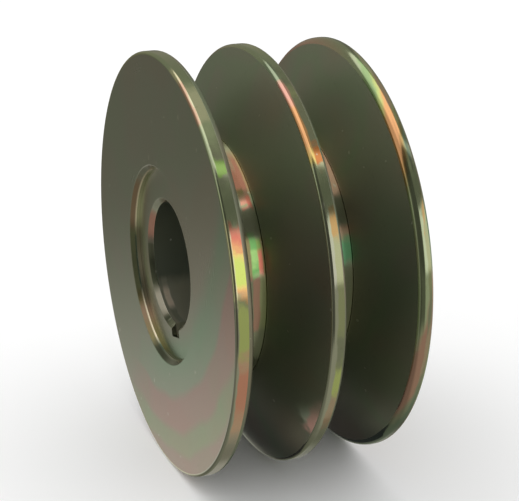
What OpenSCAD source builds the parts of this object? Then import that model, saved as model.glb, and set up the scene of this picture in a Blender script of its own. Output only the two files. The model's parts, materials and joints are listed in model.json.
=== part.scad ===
// Double V-belt pulley, built up from three flanges and two groove rings
// pressed on a keyed hub sleeve. Millimetres.
//
// The pulley spins about Y. The origin is on the spin axis, halfway between
// the front and rear faces. The front face, with the recess round the bore,
// looks along -Y.

/* [Pulley] */
// Outside diameter of the three flanges
outside_d = 76; // [70:0.5:90]
// Overall width, from the front face to the rear face
overall_w = 34.7; // [34:0.1:38]

/* [Grooves] */
// Distance between the middles of the two grooves
groove_pitch = 16; // [15.5:0.1:16.5]
// Distance from the front face to the middle of the front groove
front_groove_y = 9.8; // [9.4:0.1:10.4]
// Angle between the two flanks of a groove
groove_angle = 36; // [30:1:36]
// Depth of a groove below the flanges' outside diameter
groove_depth = 15.6; // [12:0.1:15.8]
// Width of the flat bottom of a groove
root_w = 3.6; // [3:0.1:3.8]

/* [Rim edges] */
// Rounding of the front flange's edge at the front face
front_edge_r = 0.6; // [0.2:0.1:0.7]
// Rounding of the front flange's edge at its groove
front_flange_r = 1.0; // [0.3:0.1:1.2]
// Rounding of the middle flange's edge at the front groove
middle_front_r = 0.8; // [0.2:0.1:0.9]
// Rounding of the middle flange's edge at the rear groove
middle_rear_r = 0.45; // [0.2:0.05:0.6]
// Rounding of the rear flange's edge at its groove
rear_flange_r = 1.6; // [0.3:0.1:1.7]
// Rounding of the rear flange's edge at the rear face
rear_edge_r = 0.4; // [0.2:0.1:0.6]

/* [Hub] */
// Diameter of the bore, for a 7/8 inch shaft
bore_d = 22.225; // [20:0.005:24]
// Width and depth of the chamfer at each end of the bore
bore_chamfer = 0.85; // [0.3:0.05:1.2]
// Outside diameter of the hub sleeve
sleeve_d = 34.4; // [31:0.1:36]
// Depth of the recess in the front face, down to the end of the sleeve
recess_depth = 1.6; // [1.2:0.1:2.5]
// Width of the sloping wall round the recess
recess_slope_w = 0.8; // [0.3:0.1:1.2]
// Depth of the sloping wall round the recess
recess_slope_depth = 1.0; // [0.3:0.1:1.1]

/* [Keyway] */
// Width of the keyway
key_w = 4; // [3:0.1:5]
// Depth of the keyway beyond the wall of the bore
key_depth = 2.15; // [1.5:0.05:2.6]
// Turn of the keyway away from straight down, towards +X
key_angle = 15; // [0:1:359]

/* [Hidden] */
outside_r = outside_d / 2;
root_r = outside_r - groove_depth;
sleeve_r = sleeve_d / 2;
bore_r = bore_d / 2;
rear_groove_y = front_groove_y + groove_pitch;
flank_slope = groove_angle / 2;
// Chamfer on the edges of the groove rings and on the sleeve's rear edge
small_chamfer = 0.3;
// Straight steps in each rounded edge
ARC_STEPS = 6;
// How far a cut runs past the faces that it opens
CUT = 1;

$fn = 180;

// Profiles are drawn as [radius, distance behind the front face].

// Half the width of a groove at a radius
function half_width(radius) = root_w / 2 + (radius - root_r) * tan(flank_slope);

// Points round a centre, from one angle to another
function arc(centre, radius, from, to) = [
    for (i = [0:ARC_STEPS])
        let (angle = from + (to - from) * i / ARC_STEPS)
        centre + radius * [cos(angle), sin(angle)]
];

// Rounded rim edge of the flange in front of the groove at groove_y
function edge_before(groove_y, radius) =
    let (centre_r = outside_r - radius)
    let (centre_y = groove_y - half_width(centre_r) - radius / cos(flank_slope))
    arc([centre_r, centre_y], radius, 0, 90 - flank_slope);

// Rounded rim edge of the flange behind the groove at groove_y
function edge_behind(groove_y, radius) =
    let (centre_r = outside_r - radius)
    let (centre_y = groove_y + half_width(centre_r) + radius / cos(flank_slope))
    arc([centre_r, centre_y], radius, flank_slope - 90, 0);

// Turns a profile about the spin axis
module turned(profile) {
    translate([0, -overall_w / 2, 0])
        rotate([-90, 0, 0])
            rotate_extrude()
                polygon(profile);
}

module flange_colour() {
    color([0.55, 0.53, 0.38]) children();
}

module ring_colour() {
    color([0.72, 0.58, 0.36]) children();
}

// Front disc: flat face with the mouth of the recess, and the first flank
module front_flange() {
    foot_y = front_groove_y - root_w / 2;
    profile = concat(
        [
            [sleeve_r, foot_y],
            [sleeve_r, recess_slope_depth],
            [sleeve_r + recess_slope_w, 0],
        ],
        arc([outside_r - front_edge_r, front_edge_r], front_edge_r, -90, 0),
        edge_before(front_groove_y, front_flange_r),
        [[root_r, foot_y]]
    );
    flange_colour() turned(profile);
}

// Middle disc, shared by both grooves and thicker towards the hub
module middle_flange() {
    front_foot_y = front_groove_y + root_w / 2;
    rear_foot_y = rear_groove_y - root_w / 2;
    profile = concat(
        [[sleeve_r, rear_foot_y], [sleeve_r, front_foot_y], [root_r, front_foot_y]],
        edge_behind(front_groove_y, middle_front_r),
        edge_before(rear_groove_y, middle_rear_r),
        [[root_r, rear_foot_y]]
    );
    flange_colour() turned(profile);
}

// Rear disc: the last flank and the flat rear face
module rear_flange() {
    foot_y = rear_groove_y + root_w / 2;
    profile = concat(
        [[sleeve_r, overall_w], [sleeve_r, foot_y], [root_r, foot_y]],
        edge_behind(rear_groove_y, rear_flange_r),
        arc([outside_r - rear_edge_r, overall_w - rear_edge_r], rear_edge_r, 0, 90)
    );
    flange_colour() turned(profile);
}

// Ring between two discs, whose outside is the bottom of a groove
module groove_ring(groove_y) {
    front_y = groove_y - root_w / 2;
    rear_y = groove_y + root_w / 2;
    profile = [
        [sleeve_r, rear_y],
        [sleeve_r, front_y],
        [root_r - small_chamfer, front_y],
        [root_r, front_y + small_chamfer],
        [root_r, rear_y - small_chamfer],
        [root_r - small_chamfer, rear_y],
    ];
    ring_colour() turned(profile);
}

module front_groove_ring() {
    groove_ring(front_groove_y);
}

module rear_groove_ring() {
    groove_ring(rear_groove_y);
}

// Slot for the shaft's key, open at both ends of the bore
module keyway() {
    translate([0, -overall_w / 2, 0])
        rotate([-90, 0, 0])
            rotate([0, 0, -key_angle])
                translate([-key_w / 2, 0, -CUT])
                    cube([key_w, bore_r + key_depth, overall_w + 2 * CUT]);
}

// Keyed tube that carries the discs and rings; its front end is the recess floor
module hub_sleeve() {
    profile = [
        [bore_r, overall_w - bore_chamfer],
        [bore_r, recess_depth + bore_chamfer],
        [bore_r + bore_chamfer, recess_depth],
        [sleeve_r, recess_depth],
        [sleeve_r, overall_w - small_chamfer],
        [sleeve_r - small_chamfer, overall_w],
        [bore_r + bore_chamfer, overall_w],
    ];
    color([0.62, 0.60, 0.48])
        difference() {
            turned(profile);
            keyway();
        }
}

front_flange();
front_groove_ring();
middle_flange();
rear_groove_ring();
rear_flange();
hub_sleeve();
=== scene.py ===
"""Looks of the double-groove V-belt pulley: turned steel with an iridescent olive-yellow plating.

Every piece is turned about Y, the spin axis, in metres, and the front face looks along -Y.
"""
import json
import math

import bmesh
import bpy
from mathutils import Matrix, Vector


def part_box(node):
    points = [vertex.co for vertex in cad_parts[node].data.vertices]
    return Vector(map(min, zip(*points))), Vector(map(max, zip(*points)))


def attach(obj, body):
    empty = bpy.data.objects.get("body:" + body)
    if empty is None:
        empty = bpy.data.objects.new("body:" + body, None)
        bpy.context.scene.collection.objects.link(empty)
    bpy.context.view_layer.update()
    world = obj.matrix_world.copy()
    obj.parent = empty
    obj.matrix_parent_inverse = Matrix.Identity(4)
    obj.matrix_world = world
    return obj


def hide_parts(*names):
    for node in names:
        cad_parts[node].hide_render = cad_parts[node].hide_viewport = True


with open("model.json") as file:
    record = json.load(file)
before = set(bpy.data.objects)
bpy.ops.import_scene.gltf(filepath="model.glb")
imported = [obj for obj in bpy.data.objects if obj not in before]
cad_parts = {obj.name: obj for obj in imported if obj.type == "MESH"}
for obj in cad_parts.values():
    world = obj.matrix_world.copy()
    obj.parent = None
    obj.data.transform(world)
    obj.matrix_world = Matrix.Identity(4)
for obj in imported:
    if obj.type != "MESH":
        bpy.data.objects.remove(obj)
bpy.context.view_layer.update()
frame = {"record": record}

MM = 0.001
SEGMENTS = 256              # straight steps round a turned piece
BORE_STEPS = 240            # straight steps round the bore, apart from its keyway
GROOVE_SLOPE = math.radians(18)
RECESS_SLOPE_WIDTH = 0.8 * MM
RECESS_SLOPE_DEPTH = 1.0 * MM
BORE_CHAMFER = 0.85 * MM
KEY_HALF = 2 * MM           # half the width of the keyway
KEY_DEPTH = 2.15 * MM
KEY_TURN = math.radians(15 - 90)   # where the keyway is, from +X towards +Z

# Rounding of the edges. The rim edges come in order from the front face to the rear face.
FRONT_FLANGE_ROUNDINGS = (0.6 * MM, 1.0 * MM)
MIDDLE_FLANGE_ROUNDINGS = (0.8 * MM, 0.45 * MM)
REAR_FLANGE_ROUNDINGS = (1.6 * MM, 0.4 * MM)
SLOPE_FOOT_ROUNDING = 0.12 * MM
SLOPE_TOP_ROUNDING = 0.15 * MM
RING_ROUNDING = 0.25 * MM   # outer edges of the groove rings, and the sleeve's rear edge
BORE_ROUNDING = 0.1 * MM    # edges of the chamfers on the bore
LIP_ROUNDING = 0.15 * MM    # where the keyway opens into the bore
KEY_FLOOR_ROUNDING = 0.25 * MM
SEAM = 0.06 * MM            # edges at a seam between two pieces

# ---------------------------------------------------------------------------
# Places, all from the frame
# ---------------------------------------------------------------------------
outside_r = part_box("front_flange")[1].x
front_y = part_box("front_flange")[0].y
rear_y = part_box("rear_flange")[1].y
root_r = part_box("front_groove_ring")[1].x
sleeve_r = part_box("hub_sleeve")[1].x
bore_mount = next(mount for mount in frame["record"]["mounts"] if mount["name"] == "bore")
bore_r = bore_mount["dims"]["r_mm"] * MM
floor_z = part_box("front_flange")[0].z


def flank_y(foot_y, way, radius):
    """Where a flank that starts at foot_y is at a radius; way is +1 or -1 along Y."""
    return foot_y + way * (radius - root_r) * math.tan(GROOVE_SLOPE)


# ---------------------------------------------------------------------------
# Camera, floor and light
# ---------------------------------------------------------------------------
def make_camera():
    """The view from the right, a little to the front and slightly above."""
    azimuth, elevation = math.radians(68.08), math.radians(19.53)
    distance = 0.2644
    aside, above = 0.0017, 0.0005
    back = Vector((
        math.sin(azimuth) * math.cos(elevation),
        -math.cos(azimuth) * math.cos(elevation),
        math.sin(elevation),
    ))
    right = Vector((math.cos(azimuth), math.sin(azimuth), 0))
    up = back.cross(right)
    data = bpy.data.cameras.new("camera")
    data.lens = 100.4
    data.sensor_width = 36
    data.clip_start, data.clip_end = 0.01, 50
    camera = bpy.data.objects.new("camera", data)
    camera.matrix_world = Matrix((right, up, back)).transposed().to_4x4()
    camera.location = back * distance + right * aside + up * above
    bpy.context.scene.collection.objects.link(camera)
    bpy.context.scene.camera = camera


class Graph:
    """Short names for the nodes of one material or world. A value is a number or a socket."""

    def __init__(self, tree):
        self.tree = tree

    def node(self, kind, **settings):
        made = self.tree.nodes.new(kind)
        for name, value in settings.items():
            setattr(made, name, value)
        return made

    def put(self, socket, value):
        if isinstance(value, bpy.types.NodeSocket):
            self.tree.links.new(value, socket)
        else:
            socket.default_value = value

    def math(self, operation, first, second=0.0):
        made = self.node("ShaderNodeMath", operation=operation)
        for socket, value in zip(made.inputs, (first, second)):
            self.put(socket, value)
        return made.outputs[0]

    def add(self, first, second):
        return self.math("ADD", first, second)

    def times(self, first, second):
        return self.math("MULTIPLY", first, second)

    def rest(self, value):
        """What is left of 1 without the value."""
        return self.math("SUBTRACT", 1.0, value)

    def step(self, value, low, high):
        """0 at low and beyond, 1 at high and beyond, smooth between. Either may be the larger."""
        made = self.node("ShaderNodeMapRange", interpolation_type="SMOOTHSTEP")
        self.put(made.inputs["Value"], value)
        self.put(made.inputs["From Min"], low)
        self.put(made.inputs["From Max"], high)
        return made.outputs["Result"]

    def band(self, value, low, high, soft):
        """1 between low and high and 0 beyond, with both ends blurred by soft either way."""
        rise = self.step(value, low - soft, low + soft)
        fall = self.step(value, high - soft, high + soft)
        return self.times(rise, self.rest(fall))

    def dot(self, vector, direction):
        made = self.node("ShaderNodeVectorMath", operation="DOT_PRODUCT")
        self.put(made.inputs[0], vector)
        self.put(made.inputs[1], direction)
        return made.outputs["Value"]

    def scale(self, colour, factor):
        made = self.node("ShaderNodeVectorMath", operation="SCALE")
        self.put(made.inputs[0], colour)
        self.put(made.inputs["Scale"], factor)
        return made.outputs["Vector"]

    def noise(self, where, scale, detail=2.0, roughness=0.5, dimensions="3D"):
        made = self.node("ShaderNodeTexNoise", noise_dimensions=dimensions)
        self.put(made.inputs["W" if dimensions == "1D" else "Vector"], where)
        self.put(made.inputs["Scale"], scale)
        self.put(made.inputs["Detail"], detail)
        self.put(made.inputs["Roughness"], roughness)
        return made.outputs["Fac"]

    def ramp(self, value, stops):
        """Colour at a value, from (position, colour) stops."""
        made = self.node("ShaderNodeValToRGB")
        made.color_ramp.interpolation = "EASE"
        elements = made.color_ramp.elements
        while len(elements) < len(stops):
            elements.new(1.0)
        for element, (position, colour) in zip(elements, stops):
            element.position = position
            element.color = (*colour, 1.0)
        self.put(made.inputs["Fac"], value)
        return made.outputs["Color"]

    def mix(self, share, first, second, blend="MIX"):
        made = self.node("ShaderNodeMix", data_type="RGBA", blend_type=blend)
        self.put(made.inputs["Factor"], share)
        for name, value in (("A", first), ("B", second)):
            socket = next(s for s in made.inputs if s.name == name and s.type == "RGBA")
            self.put(socket, value if isinstance(value, bpy.types.NodeSocket) else (*value, 1.0))
        return next(s for s in made.outputs if s.type == "RGBA")


def studio_light(g):
    """Colour of a studio with a window, a lamp, a bright wall and dark gaps, by direction.

    A light is bounded by planes through the object, each given by its normal, so its edges
    stay straight.
    """
    way = g.node("ShaderNodeTexCoord").outputs["Generated"]
    up = g.dot(way, (0, 0, 1))
    down = g.dot(way, (0, 0, -1))
    front = g.dot(way, (0, -1, 0))
    left = g.dot(way, (-0.93, -0.37, 0))

    def inside(*normals, soft=0.015):
        """1 where a direction is on the positive side of every plane."""
        share = 1.0
        for normal in normals:
            share = g.times(share, g.step(g.dot(way, normal), -soft, soft))
        return share

    # Large window over the front left, seen by the upper front edges of the rims
    window = g.times(
        inside((-0.905, 0.12, 0.40), (0.70, 0, 0.71), (0, -1, 0.20)),
        g.step(up, 0.08, 0.16),
    )
    # It is dimmer towards the front
    window = g.times(window, g.rest(g.times(g.step(front, 0.5, 0.75), 0.6)))
    # Thin lamp along the window's right side
    lamp = g.times(
        inside((-0.905, 0.12, 0.42), (0.93, -0.05, -0.315), (0.2, -1, 0.55)),
        g.step(up, 0.3, 0.4),
    )
    # Bright wall beyond the right side, from the horizon to 30 degrees up
    wall = g.times(g.band(up, -0.02, 0.525, 0.015), inside((0.25, 1, 0), (1, -0.9, 0), soft=0.05))
    # Dark parts of the room: high on the right, and behind the camera
    high_right = g.times(g.step(up, 0.45, 0.5), inside((0.905, -0.12, -0.40)))
    behind_camera = g.times(
        g.times(inside((-0.35, -1, 0), soft=0.08), g.step(g.dot(way, (1, 0, 0)), 0.0, 0.3)),
        g.step(up, -0.60, -0.40),
    )
    dark = g.math("MAXIMUM", g.times(high_right, 0.40), g.times(behind_camera, 0.72))
    # Floor: bright on the front left, and plain on the right
    bright_floor = g.times(g.step(left, 0.3, 0.7), g.step(down, 0.29, 0.50))
    bright_floor = g.times(bright_floor, g.step(g.math("DIVIDE", left, down), 0.9, 1.5))
    bright_floor = g.times(bright_floor, g.rest(g.times(g.step(front, 0.40, 0.62), 0.7)))
    right_floor = g.times(g.step(down, 0.0, 0.1), g.step(g.times(left, -1.0), -0.1, 0.3))
    left_low = g.times(g.step(left, 0.3, 0.7), g.step(down, -0.12, 0.12))
    ceiling = g.step(up, 0.70, 0.85)
    # Soft light low behind the pulley, seen by its rear face from above
    behind = g.times(g.step(front, -0.55, -0.85), g.band(up, -0.27, -0.04, 0.12))
    # Table low behind the left of the pulley, seen by the lowest part of the front rim
    table = g.times(
        g.times(g.step(front, -0.2, -0.3), g.step(down, 0.45, 0.6)),
        g.times(g.step(g.dot(way, (-1, 0, 0)), 0.3, 0.5), 0.22),
    )

    # Brightness of the room, one part on top of another
    dim = g.add(0.25, g.times(right_floor, 0.18))
    dim = g.add(dim, g.times(left_low, -0.10))
    dim = g.add(dim, g.times(ceiling, 0.13))
    dim = g.add(dim, g.times(g.step(front, 0.90, 1.0), 0.20))
    dim = g.add(dim, g.times(behind, 0.35))
    dim = g.times(dim, g.rest(dark))
    bright = g.math("MAXIMUM", g.math("MAXIMUM", window, lamp), g.math("MAXIMUM", wall, table))
    bright = g.add(g.times(bright, 0.75), g.times(bright_floor, 0.50))
    room_tint, lamp_tint = (0.98, 1.0, 0.76), (1.0, 0.98, 0.92)
    return g.mix(1.0, g.scale(room_tint, dim), g.scale(lamp_tint, bright), blend="ADD")


def make_world():
    """An even white room for the eye, and the studio for what polished metal reflects."""
    world = bpy.data.worlds.new("studio")
    bpy.context.scene.world = world
    world.use_nodes = True
    world.node_tree.nodes.clear()
    g = Graph(world.node_tree)
    mirrored = g.node("ShaderNodeBackground")
    g.put(mirrored.inputs["Color"], studio_light(g))
    even = g.node("ShaderNodeBackground")
    even.inputs["Color"].default_value = (1, 1, 1, 1)
    even.inputs["Strength"].default_value = 1.04
    choose = g.node("ShaderNodeMixShader")
    g.put(choose.inputs[0], g.node("ShaderNodeLightPath").outputs["Is Glossy Ray"])
    g.put(choose.inputs[1], even.outputs[0])
    g.put(choose.inputs[2], mirrored.outputs[0])
    g.put(g.node("ShaderNodeOutputWorld").inputs["Surface"], choose.outputs[0])


def paper(name, grey):
    """A matt grey material."""
    made = bpy.data.materials.new(name)
    made.use_nodes = True
    surface = made.node_tree.nodes["Principled BSDF"]
    surface.inputs["Base Color"].default_value = (grey, grey, grey, 1)
    surface.inputs["Roughness"].default_value = 1.0
    surface.inputs["Specular IOR Level"].default_value = 0.0
    return made


def make_floor():
    """A round pale floor that polished metal doesn't reflect."""
    mesh = bpy.data.meshes.new("floor")
    floor = bpy.data.objects.new("floor", mesh)
    shape = bmesh.new()
    bmesh.ops.create_circle(shape, cap_ends=True, radius=6, segments=96)
    shape.to_mesh(mesh)
    shape.free()
    floor.location.z = floor_z
    mesh.materials.append(paper("floor_paper", 0.93))
    floor.visible_glossy = False
    bpy.context.scene.collection.objects.link(floor)


def make_shade_card(name, front, rear):
    """Black card under a groove that only reflections show: painted shade for the shadowed floor,
    so the groove stays dark below.

    A notch on the right keeps it out of the reflections in the edge of the flange in front.
    """
    left, notch_left, right = -45 * MM, 10 * MM, 21 * MM
    notch_rear = front + 4.3 * MM
    corners = [
        (left, front),
        (notch_left, front),
        (notch_left, notch_rear),
        (right, notch_rear),
        (right, rear),
        (left, rear),
    ]
    mesh = bpy.data.meshes.new(name)
    mesh.from_pydata([(x, y, floor_z) for x, y in corners], [], [range(len(corners))])
    card = bpy.data.objects.new(name, mesh)
    mesh.materials.append(paper(name + "_paper", 0.05))
    card.visible_camera = False
    card.visible_diffuse = False
    card.visible_shadow = False
    bpy.context.scene.collection.objects.link(card)


def make_key_light():
    """Soft light from the upper left front, for the shadow on the floor."""
    data = bpy.data.lights.new("key", "AREA")
    data.shape = "RECTANGLE"
    data.size, data.size_y = 0.5, 0.5
    data.energy = 1.1
    light = bpy.data.objects.new("key", data)
    place = Vector((-0.25, -0.35, 0.75))
    light.location = place
    light.rotation_euler = place.to_track_quat("Z", "Y").to_euler()
    light.visible_glossy = False
    light.visible_camera = False
    bpy.context.scene.collection.objects.link(light)


# ---------------------------------------------------------------------------
# Turned shapes
# ---------------------------------------------------------------------------
def rounded(corners, steps=6):
    """A closed outline with each corner rounded. A corner is (radius, y, rounding, finish).

    Returns the outline's points and, for each point, the finish of the stretch that starts there.
    """
    points, finishes = [], []
    for i, (radius, y, rounding, finish) in enumerate(corners):
        here = Vector((radius, y))
        back = (Vector(corners[i - 1][:2]) - here).normalized()
        ahead = (Vector(corners[(i + 1) % len(corners)][:2]) - here).normalized()
        half = back.angle(ahead) / 2
        centre = here + (back + ahead).normalized() * rounding / math.sin(half)
        first = here + back * rounding / math.tan(half) - centre
        last = here + ahead * rounding / math.tan(half) - centre
        sweep = first.angle_signed(last)
        for k in range(steps + 1):
            turn = Matrix.Rotation(-sweep * k / steps, 2)
            points.append(centre + turn @ first)
            finishes.append(finish)
    return points, finishes


def shade(piece):
    """Smooth shading that keeps flat faces flat and real corners sharp."""
    for polygon in piece.data.polygons:
        polygon.use_smooth = True
    piece.data.set_sharp_from_angle(angle=math.radians(35))
    weighted = piece.modifiers.new("weighted normals", "WEIGHTED_NORMAL")
    weighted.keep_sharp = True
    weighted.weight = 100


def from_rings(name, rings, finishes, materials):
    """A closed piece from rings of points, each joined to the next and the last to the first."""
    shape = bmesh.new()
    loops = [[shape.verts.new(point) for point in ring] for ring in rings]
    count = len(loops[0])
    for i, loop in enumerate(loops):
        following = loops[(i + 1) % len(loops)]
        for k in range(count):
            after = (k + 1) % count
            quad = shape.faces.new((loop[k], loop[after], following[after], following[k]))
            quad.material_index = finishes[i]
    bmesh.ops.recalc_face_normals(shape, faces=shape.faces)
    mesh = bpy.data.meshes.new(name)
    shape.to_mesh(mesh)
    shape.free()
    for material in materials:
        mesh.materials.append(material)
    piece = bpy.data.objects.new(name, mesh)
    bpy.context.scene.collection.objects.link(piece)
    shade(piece)
    return piece


def lathe(name, corners, materials):
    """A piece turned about Y from an outline of rounded corners."""
    points, finishes = rounded(corners)
    rings = []
    for radius, y in points:
        rings.append([
            (
                radius * math.cos(math.tau * k / SEGMENTS),
                y,
                radius * math.sin(math.tau * k / SEGMENTS),
            )
            for k in range(SEGMENTS)
        ])
    return from_rings(name, rings, finishes, materials)


def stand_for(piece, node):
    """Puts a piece in place of a CAD node."""
    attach(piece, "root")
    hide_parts(node)


# ---------------------------------------------------------------------------
# Materials
# ---------------------------------------------------------------------------
# Colours of the plating's film, from the weak ones to the strong; some also serve as painted light
# and shade
PLAIN = (0.47, 0.465, 0.395)
STONE = (0.32, 0.33, 0.25)
PITCH = (0.14, 0.15, 0.11)
PINE = (0.20, 0.26, 0.20)
MOSS = (0.42, 0.44, 0.27)
SAGE = (0.50, 0.56, 0.39)
PALE = (0.73, 0.72, 0.53)
CLAY = (0.52, 0.48, 0.42)
KHAKI = (0.29, 0.25, 0.13)
BROWN = (0.42, 0.29, 0.21)
TAN = (0.54, 0.41, 0.32)
DUSTY = (0.53, 0.31, 0.26)
PEACH = (0.72, 0.47, 0.36)
APRICOT = (0.90, 0.60, 0.38)
CREAM = (0.80, 0.76, 0.52)
FOAM = (0.86, 0.86, 0.78)
ROSE = (0.85, 0.45, 0.40)
SALMON = (0.78, 0.36, 0.28)
RED = (0.78, 0.25, 0.19)
COPPER = (0.66, 0.26, 0.10)
AMBER = (0.56, 0.36, 0.16)
ORANGE = (0.85, 0.44, 0.22)
GOLD = (0.86, 0.68, 0.25)
OLIVE = (0.59, 0.65, 0.27)
LIME = (0.67, 0.77, 0.21)
LEAF = (0.28, 0.43, 0.14)
FRESH = (0.38, 0.64, 0.24)
GREEN = (0.20, 0.46, 0.16)
MINT = (0.36, 0.50, 0.26)
FROST = (0.38, 0.45, 0.33)
TEAL = (0.15, 0.36, 0.20)


class Plating:
    """The nodes that every plated surface shares: place, radius, angle and unevenness."""

    def __init__(self, name, roughness):
        self.material = bpy.data.materials.new(name)
        self.material.use_nodes = True
        self.surface = self.material.node_tree.nodes["Principled BSDF"]
        self.surface.inputs["Metallic"].default_value = 1.0
        self.roughness = roughness
        self.g = g = Graph(self.material.node_tree)
        self.place = g.node("ShaderNodeTexCoord").outputs["Object"]
        split = g.node("ShaderNodeSeparateXYZ")
        g.put(split.inputs[0], self.place)
        self.x, self.y, self.z = split.outputs
        self.radius = g.math("SQRT", g.add(g.times(self.x, self.x), g.times(self.z, self.z)))
        self.cloud = g.noise(self.place, 55.0, detail=3.0, roughness=0.55)
        self.speckle = g.noise(self.place, 900.0, roughness=0.6)

    def turn(self, middle_y, twist):
        """Where on a ramp an angle round the axis comes: 0.5 at +X, rising towards +Z.

        twist turns the pattern with the distance from middle_y, in radians a metre.
        """
        g = self.g
        angle = g.add(g.math("ARCTAN2", self.z, self.x), g.times(g.add(self.y, -middle_y), twist))
        blots = g.noise(self.place, 420.0)
        angle = g.add(angle, g.times(g.add(blots, -0.5), 0.14))
        return g.math("FRACT", g.add(g.times(angle, 1 / math.tau), 0.5))

    def lanes(self, lanes, middle_y, twist):
        """Film colours by angle, in lanes side by side along Y.

        A lane is (its start from middle_y, its stops), a stop (degrees from +X to +Z, colour).
        """
        g = self.g
        soft = 0.15 * MM
        turn = self.turn(middle_y, twist)
        wander = g.noise(self.place, 260.0)
        across = g.add(g.add(self.y, -middle_y), g.times(g.add(wander, -0.5), 0.8 * MM))
        colour = None
        for start, stops in lanes:
            lane = g.ramp(turn, [(degrees / 360 + 0.5, tint) for degrees, tint in stops])
            if colour:
                share = g.step(across, start - soft, start + soft)
                lane = g.mix(share, colour, lane)
            colour = lane
        return colour

    def arcs(self, tint):
        """Wide pink and green bands across the lower right, as arcs round one centre."""
        g = self.g
        centre_x, centre_z = -15 * MM, 32 * MM
        ramp_reach = 80 * MM
        aside, above = g.add(self.x, -centre_x), g.add(self.z, -centre_z)
        reach = g.math("SQRT", g.add(g.times(aside, aside), g.times(above, above)))
        wander = g.noise(self.place, 38.0, roughness=0.45)
        reach = g.add(reach, g.times(g.add(wander, -0.5), 11 * MM))
        hue = g.ramp(g.times(reach, 1 / ramp_reach), [
            (0.58, (1.0, 1.0, 1.0)),
            (0.64, (0.82, 1.08, 0.96)),
            (0.70, (0.90, 1.05, 0.98)),
            (0.725, (1.18, 0.87, 0.94)),
            (0.78, (1.18, 0.88, 0.93)),
            (0.81, (0.96, 1.06, 0.89)),
            (0.84, (0.98, 1.05, 0.88)),
            (0.87, (1.15, 0.91, 0.94)),
        ])
        low_right = g.add(g.times(self.x, 0.8), g.times(self.z, -0.6))
        share = g.step(low_right, -3 * MM, 13 * MM)
        return g.mix(share, tint, g.mix(1.0, tint, hue, blend="MULTIPLY"))

    def patches(self, tint, strength=1.0):
        """Faint pink and green patches in one tint, as on a broad plated face."""
        g = self.g
        thickness = g.noise(self.place, 34.0)
        hue = g.ramp(thickness, [
            (0.32, (1.06, 0.95, 0.94)),
            (0.42, (1.00, 1.00, 0.98)),
            (0.48, (0.94, 1.04, 0.95)),
            (0.54, (1.00, 1.00, 0.98)),
            (0.62, (1.07, 0.95, 0.93)),
        ])
        return g.mix(strength, tint, hue, blend="MULTIPLY")

    def finish(self, colour, along):
        """Soiled specks and bright nicks on a colour, and tool marks.

        The marks are rings about the axis, one after another as the value along grows.
        """
        g = self.g
        soil, bare_metal = (0.05, 0.05, 0.035), (0.85, 0.84, 0.76)
        marks = g.noise(along, 4200.0, roughness=0.6, dimensions="1D")
        soiled = g.times(g.step(self.speckle, 0.62, 0.80), 0.12)
        colour = g.mix(soiled, colour, soil)
        nicks = g.step(g.noise(self.place, 900.0, detail=0.0), 0.83, 0.87)
        colour = g.mix(g.times(nicks, 0.45), colour, bare_metal)
        g.put(self.surface.inputs["Base Color"], colour)
        uneven = g.add(g.times(marks, 0.02), g.times(self.cloud, 0.06))
        uneven = g.add(uneven, self.roughness - 0.04)
        g.put(self.surface.inputs["Roughness"], uneven)
        bump = g.node("ShaderNodeBump")
        bump.inputs["Strength"].default_value = 0.006
        bump.inputs["Distance"].default_value = 0.01 * MM
        g.put(bump.inputs["Height"], marks)
        g.put(self.surface.inputs["Normal"], bump.outputs["Normal"])
        return self.material


def plated_face():
    """The broad flat faces."""
    plating = Plating("plated_face", 0.26)
    return plating.finish(plating.arcs(plating.patches(PLAIN, 0.6)), plating.radius)


def plated_flank():
    """A groove's flank: rougher than the face, with painted shade out on the lower right.

    Low on the middle flange's front there is also a painted reflection, a pale wedge that widens
    outwards from its tip. It is green, and pink towards the rim.
    """
    plating = Plating("plated_flank", 0.42)
    g = plating.g
    tint = plating.patches((0.42, 0.43, 0.355))
    # Painted shade: every flank is darker out on the lower right
    low_right = g.add(g.times(plating.x, 0.94), g.times(plating.z, -0.34))
    flank_shade = g.times(g.step(low_right, 20 * MM, 32 * MM), 0.25)
    tint = g.mix(flank_shade, tint, (0.02, 0.03, 0.02))

    # Painted reflection low on the middle flange's front: a pale wedge, less metallic there
    tip_x, tip_z = 26.6 * MM, -18.8 * MM
    wander = g.times(g.add(g.noise(plating.place, 300.0), -0.5), 5 * MM)
    aside = g.add(g.add(plating.x, -tip_x), wander)
    above = g.add(g.add(plating.z, -tip_z), wander)
    below_upper_side = g.add(g.times(aside, 0.47), g.times(above, -0.88))
    above_lower_side = g.add(g.times(aside, 0.77), g.times(above, 0.64))
    painted_reflection = g.times(
        g.step(below_upper_side, -1.2 * MM, 3.6 * MM),
        g.step(above_lower_side, -0.4 * MM, 1.4 * MM),
    )
    foot_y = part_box("middle_flange")[0].y
    painted_reflection = g.times(painted_reflection, g.band(plating.y, foot_y + 2 * MM, foot_y + 6 * MM, 0.3 * MM))
    pink = g.step(g.add(plating.radius, wander), 35.0 * MM, 36.2 * MM)
    reflection_green, reflection_pink = (0.56, 0.64, 0.49), (0.82, 0.48, 0.41)
    reflection_tint = g.mix(pink, reflection_green, reflection_pink)
    g.put(plating.surface.inputs["Metallic"], g.rest(g.times(painted_reflection, 0.22)))
    return plating.finish(g.mix(painted_reflection, tint, reflection_tint), plating.radius)


def banded(name, middle_y, lanes, roughness=0.13, twist=0.0):
    """A rim, a groove bottom or a bevel, with film colours that change round the axis."""
    plating = Plating(name, roughness)
    return plating.finish(plating.lanes(lanes, middle_y, twist), plating.y)


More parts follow.
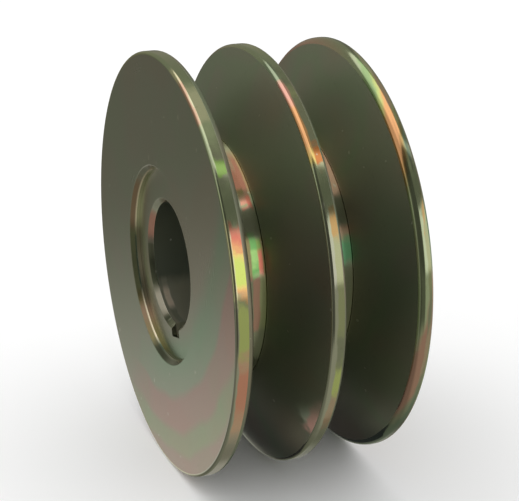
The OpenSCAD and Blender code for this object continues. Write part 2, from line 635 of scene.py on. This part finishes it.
def bore_wall():
    """The reamed bore: a thin cool film, fine tool marks, painted light and shade, a painted
    highlight streak.
    """
    plating = Plating("plated_bore", 0.42)
    plating.surface.inputs["Metallic"].default_value = 0.9
    # Painted light on the lower part of the bore, painted shade elsewhere, and a painted highlight
    lit, shade_colour, glint = (0.44, 0.43, 0.33), (0.20, 0.22, 0.17), (1.0, 0.86, 0.70)
    wall = [(-175, shade_colour), (-152, shade_colour), (-135, lit), (-70, lit), (0, shade_colour), (179, shade_colour)]
    # A lane a little way in from the front, with a painted highlight streak
    streak_lane = [
        (-175, shade_colour), (-152, shade_colour), (-142, lit), (-131, glint), (-120, glint), (-110, STONE),
        (-92, STONE), (-76, lit), (0, shade_colour), (179, shade_colour),
    ]
    streak_start, streak_end = 3.1 * MM, 4.2 * MM
    lanes = [(0, wall), (streak_start, streak_lane), (streak_end, wall)]
    return plating.finish(plating.lanes(lanes, front_y, 0.0), plating.y)


def recess_slope():
    """Sloping recess wall: brown upper left; painted shadow line low; painted highlights and shade
    at inner edge.
    """
    plating = Plating("plated_slope", 0.24)
    # The near-black stops low down are a painted shadow line
    stops = [
        (-175, MOSS), (-150, MOSS), (-142, KHAKI), (-132, BROWN), (-112, KHAKI), (-102, PITCH),
        (-94, PITCH), (-60, PLAIN), (100, PLAIN), (125, PLAIN), (143, BROWN), (170, BROWN),
        (179, MOSS),
    ]
    colour = plating.lanes([(0, stops)], front_y, 0.0)
    # Along the inner edge: painted highlights on the left, with painted shade beside them
    bright = (0.96, 0.84, 0.68)
    edge_light_stops = [
        (-175, PINE), (-150, PINE), (-138, bright), (-110, bright), (-102, PINE), (-80, PLAIN),
        (95, PLAIN), (120, bright), (170, bright), (179, MOSS),
    ]
    edge_light = plating.lanes([(0, edge_light_stops)], front_y, 0.0)
    edge_light_share = plating.g.step(plating.radius, sleeve_r + 0.24 * MM, sleeve_r + 0.08 * MM)
    return plating.finish(plating.g.mix(edge_light_share, colour, edge_light), plating.y)


def recess_wall():
    """Straight wall between the slope and the end of the sleeve: painted shade, a painted highlight
    upper left.
    """
    shade_colour = (0.36, 0.325, 0.245)
    # Darker all round as painted shade, browner low on the left, and a pale painted highlight upper
    # left
    stops = [
        (-175, shade_colour), (-145, shade_colour), (-130, BROWN), (-112, KHAKI), (-98, KHAKI), (-85, shade_colour),
        (108, shade_colour), (122, PALE), (165, PALE), (178, shade_colour),
    ]
    return banded("plated_wall", front_y, [(0, stops)], roughness=0.35)


def bevel():
    """Chamfer at the front of the bore."""
    stops = [
        (-175, STONE), (-162, PITCH), (-146, PITCH), (-128, CLAY), (-110, CLAY), (-102, PITCH),
        (-92, STONE), (110, PLAIN), (122, FOAM), (136, FOAM), (150, ROSE), (168, ROSE), (179, CLAY),
    ]
    return banded("plated_bevel", front_y, [(0, stops)], roughness=0.24)


def rim_front():
    """The front flange's rim: one set of colours on its front edge, another behind it."""
    edge = [
        (-150, ROSE), (-90, CREAM), (-45, PLAIN), (9, PLAIN), (10, CREAM), (27, CREAM), (30, SAGE),
        (53, SAGE), (57, PEACH), (70, PEACH), (75, CREAM), (80, SAGE), (150, GOLD),
    ]
    land = [
        (-175, GOLD), (-140, SAGE), (-110, ROSE), (-50, CLAY), (-34, CLAY), (-24, PEACH),
        (-17, SALMON), (-10, SALMON), (-6, PEACH), (-2, OLIVE), (8, OLIVE), (10, MOSS),
        (12, ORANGE), (14, GOLD), (15.5, LIME), (19, LIME), (21, GOLD), (22.5, ORANGE),
        (24.5, ORANGE), (26, RED), (27.5, RED), (29.5, SAGE), (36, SAGE), (39, STONE), (40.5, LEAF),
        (43.5, LEAF), (45, STONE), (53, SAGE), (58, PALE), (66, PALE), (70, SAGE), (150, ROSE),
    ]
    return banded("plated_rim_front", front_y + 0.55 * MM, [(0, edge), (0, land)])


def rim_middle():
    """The middle flange's rim, with its front edge apart too."""
    edge = [
        (-150, CREAM), (-130, PITCH), (-62, PITCH), (-45, STONE), (-30, PLAIN), (9, PLAIN),
        (40, SAGE), (42, GOLD), (47, ORANGE), (56, ORANGE), (61, ROSE), (66, ROSE), (69, FROST),
        (76, FROST), (81, SAGE), (150, ROSE),
    ]
    land = [
        (-170, CREAM), (-130, ROSE), (-100, STONE), (-62, PITCH), (-50, PITCH), (-41, STONE),
        (-36, STONE), (-31, BROWN), (-26, TAN), (-21, TAN), (-18, OLIVE), (-12, OLIVE), (-9, STONE),
        (-4, STONE), (0, MOSS), (20, MOSS), (23, AMBER), (27.5, AMBER), (29, SAGE), (39, SAGE),
        (40.5, COPPER), (44, COPPER), (46, STONE), (59, STONE), (63, MOSS), (67, STONE), (75, SAGE),
        (120, GOLD), (150, CREAM),
    ]
    rim_y = flank_y(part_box("middle_flange")[0].y, 1, outside_r)
    return banded("plated_rim_middle", rim_y + 0.8 * MM, [(0, edge), (0, land)])


def rim_rear():
    """The rear flange's rim: its round edge at the groove, and the land behind it."""
    edge = [
        (-170, SAGE), (-90, PINE), (-36, PINE), (-27, STONE), (-20, DUSTY), (-4, DUSTY), (4, SAGE),
        (39, SAGE), (42, MOSS), (46, AMBER), (50, ORANGE), (60, ORANGE), (66, OLIVE), (71, MINT),
        (76, MINT), (80, SAGE), (130, ROSE), (160, CREAM),
    ]
    land = [
        (-170, GOLD), (-130, SAGE), (-90, STONE), (-64, PITCH), (-46, PITCH), (-38, PINE),
        (-32, PINE), (-24, STONE), (-15, TAN), (-10, TAN), (-3, STONE), (8, MOSS), (19, MOSS),
        (22, AMBER), (26, MOSS), (29, SAGE), (33, SAGE), (36, STONE), (39, PINE), (42, PINE),
        (45, KHAKI), (50, MOSS), (54, TAN), (62, TAN), (68, PALE), (75, PALE), (80, STONE),
        (95, STONE), (130, ROSE), (160, CREAM),
    ]
    return banded("plated_rim_rear", rear_y - 1.0 * MM, [(0, edge), (0, land)], twist=-150)


def ring_middle(node):
    """Where the middle of a groove's bottom is along Y."""
    low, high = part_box(node)
    return (low.y + high.y) / 2


def root_front():
    """The front groove's bottom, in four lanes from front to rear."""
    front = [
        (-170, SAGE), (-120, ROSE), (-60, STONE), (9, STONE), (10, DUSTY), (13, KHAKI), (27, KHAKI),
        (30, STONE), (60, STONE), (90, SAGE), (120, GOLD), (150, SAGE),
    ]
    middle = [
        (-170, SAGE), (-120, GOLD), (-60, STONE), (-17, STONE), (-13, DUSTY), (8, DUSTY),
        (10, MINT), (14, GREEN), (17, FRESH), (21, FRESH), (23, GREEN), (27, GREEN), (30, STONE),
        (40, STONE), (41, SALMON), (42.2, MOSS), (43.6, SALMON), (46, BROWN), (48, KHAKI),
        (53, SALMON), (58, SALMON), (65, PEACH), (71, TAN), (80, MOSS), (120, GOLD), (150, SAGE),
    ]
    rear = [
        (-170, SAGE), (-120, ROSE), (-60, STONE), (-17, STONE), (-10, MOSS), (9, MOSS),
        (11, SALMON), (14, RED), (20, RED), (22, LEAF), (27, LEAF), (30, STONE), (40, STONE),
        (41.5, RED), (44, RED), (47, BROWN), (52, SALMON), (66, SALMON), (78, PALE), (120, GOLD),
        (150, SAGE),
    ]
    last = [
        (-170, SAGE), (-120, ROSE), (-60, STONE), (-17, STONE), (-10, MOSS), (9, MOSS), (12, KHAKI),
        (27, KHAKI), (30, STONE), (40, STONE), (46, SAGE), (51, APRICOT), (67, APRICOT), (78, PALE),
        (120, GOLD), (150, SAGE),
    ]
    middle_y = ring_middle("front_groove_ring")
    lanes = [(0, front), (-0.7 * MM, middle), (0.5 * MM, rear), (1.25 * MM, last)]
    return banded("plated_root_front", middle_y, lanes)


def root_rear():
    """The rear groove's bottom, in two lanes."""
    front = [
        (-170, CREAM), (-120, SAGE), (-60, STONE), (10, STONE), (13, PINE), (24, KHAKI),
        (30, STONE), (50, STONE), (80, SAGE), (130, ROSE),
    ]
    rear = [
        (-170, CREAM), (-120, SAGE), (-60, STONE), (10, STONE), (13, TEAL), (20, TEAL), (23, BROWN),
        (27, BROWN), (30, STONE), (40, STONE), (46, PEACH), (62, PEACH), (80, GOLD), (130, ROSE),
    ]
    middle_y = ring_middle("rear_groove_ring")
    return banded("plated_root_rear", middle_y, [(0, front), (0, rear)])


# ---------------------------------------------------------------------------
# Pieces
# ---------------------------------------------------------------------------
# Finishes of a stretch of an outline: those of the flanges, and those of the hub sleeve
FACE, FLANK, RIM, SLOPE, WALL = range(5)
END, BORE, BEVEL = range(3)


def make_front_flange(materials):
    face_edge, groove_edge = FRONT_FLANGE_ROUNDINGS
    foot_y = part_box("front_flange")[1].y
    return lathe("front_flange_turned", [
        (sleeve_r, foot_y, SEAM, WALL),
        (sleeve_r, front_y + RECESS_SLOPE_DEPTH, SLOPE_FOOT_ROUNDING, SLOPE),
        (sleeve_r + RECESS_SLOPE_WIDTH, front_y, SLOPE_TOP_ROUNDING, FACE),
        (outside_r, front_y, face_edge, RIM),
        (outside_r, flank_y(foot_y, -1, outside_r), groove_edge, FLANK),
        (root_r, foot_y, SEAM, FACE),
    ], materials)


def make_middle_flange(materials):
    front_edge, rear_edge = MIDDLE_FLANGE_ROUNDINGS
    low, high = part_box("middle_flange")
    return lathe("middle_flange_turned", [
        (sleeve_r, high.y, SEAM, FACE),
        (sleeve_r, low.y, SEAM, FACE),
        (root_r, low.y, SEAM, FLANK),
        (outside_r, flank_y(low.y, 1, outside_r), front_edge, RIM),
        (outside_r, flank_y(high.y, -1, outside_r), rear_edge, FLANK),
        (root_r, high.y, SEAM, FACE),
    ], materials)


def make_rear_flange(materials):
    groove_edge, face_edge = REAR_FLANGE_ROUNDINGS
    foot_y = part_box("rear_flange")[0].y
    return lathe("rear_flange_turned", [
        (sleeve_r, rear_y, SEAM, FACE),
        (sleeve_r, foot_y, SEAM, FACE),
        (root_r, foot_y, SEAM, FLANK),
        (outside_r, flank_y(foot_y, 1, outside_r), groove_edge, RIM),
        (outside_r, rear_y, face_edge, FACE),
    ], materials)


def make_groove_ring(node, materials):
    low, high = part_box(node)
    return lathe(node + "_turned", [
        (sleeve_r, high.y, SEAM, FACE),
        (sleeve_r, low.y, SEAM, FACE),
        (root_r, low.y, RING_ROUNDING, FACE),
        (root_r, high.y, RING_ROUNDING, FACE),
    ], materials)


def eased(before, corner, after, size, steps=4):
    """A corner of a flat outline, rounded by a short curve."""
    first = corner + (before - corner).normalized() * size
    last = corner + (after - corner).normalized() * size
    points = []
    for k in range(steps + 1):
        t = k / steps
        points.append((1 - t) ** 2 * first + 2 * t * (1 - t) * corner + t ** 2 * last)
    return points


def keyed_circle(radius):
    """The bore's outline at a radius, with its keyway: flat points, keyway straight along +X."""
    floor_x = bore_r + KEY_DEPTH
    mouth_x = math.sqrt(radius ** 2 - KEY_HALF ** 2)
    edges = []
    for side in (-1, 1):
        lip = Vector((mouth_x, side * KEY_HALF))
        corner = Vector((floor_x, side * KEY_HALF))
        # A point a little way from the lip, along the circle's tangent
        outside = lip + 0.1 * Vector((-abs(lip.y), side * lip.x))
        edges.append((outside, lip, corner))
    low, high = edges
    points = eased(low[0], low[1], low[2], LIP_ROUNDING)
    points += eased(low[1], low[2], high[2], KEY_FLOOR_ROUNDING)
    points += [Vector((floor_x, KEY_HALF * k / 4)) for k in range(-2, 3)]
    points += eased(low[2], high[2], high[1], KEY_FLOOR_ROUNDING)
    points += eased(high[2], high[1], high[0], LIP_ROUNDING)
    start = math.atan2(points[-1].y, points[-1].x)
    stop = math.tau + math.atan2(points[0].y, points[0].x)
    for k in range(1, BORE_STEPS):
        angle = start + (stop - start) * k / BORE_STEPS
        points.append(radius * Vector((math.cos(angle), math.sin(angle))))
    return points


def make_hub_sleeve(materials):
    """The keyed tube: its bore side follows the keyed circle, its outside a plain one."""
    low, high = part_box("hub_sleeve")
    profile, finishes = rounded([
        (bore_r, high.y - BORE_CHAMFER, BORE_ROUNDING, BORE),
        (bore_r, low.y + BORE_CHAMFER, BORE_ROUNDING, BEVEL),
        (bore_r + BORE_CHAMFER, low.y, BORE_ROUNDING, END),
        (sleeve_r, low.y, SEAM, END),
        (sleeve_r, high.y, RING_ROUNDING, END),
        (bore_r + BORE_CHAMFER, high.y, BORE_ROUNDING, END),
    ])
    rings = []
    for radius, y in profile:
        outer_side = radius > (bore_r + sleeve_r) / 2
        if outer_side:
            outline = [point.normalized() * radius for point in keyed_circle(bore_r)]
        else:
            outline = keyed_circle(radius)
        ring = []
        for point in outline:
            turned = Matrix.Rotation(KEY_TURN, 2) @ point
            ring.append((turned.x, y, turned.y))
        rings.append(ring)
    return from_rings("hub_sleeve_turned", rings, finishes, materials)


# ---------------------------------------------------------------------------
# The scene
# ---------------------------------------------------------------------------
make_camera()
make_world()
make_floor()
# Painted shade: black cards under the grooves, seen only in reflections
make_shade_card("front_shade_card", front=front_y + 3.5 * MM, rear=-1.5 * MM)
make_shade_card("rear_shade_card", front=2.2 * MM, rear=rear_y - 2 * MM)
make_key_light()

face = plated_face()
flank = plated_flank()
front_finishes = (face, flank, rim_front(), recess_slope(), recess_wall())
stand_for(make_front_flange(front_finishes), "front_flange")
stand_for(make_middle_flange((face, flank, rim_middle())), "middle_flange")
stand_for(make_rear_flange((face, flank, rim_rear())), "rear_flange")
for node, finish in (("front_groove_ring", root_front()), ("rear_groove_ring", root_rear())):
    stand_for(make_groove_ring(node, (finish,)), node)
stand_for(make_hub_sleeve((face, bore_wall(), bevel())), "hub_sleeve")

bpy.context.scene.view_settings.view_transform = "Standard"
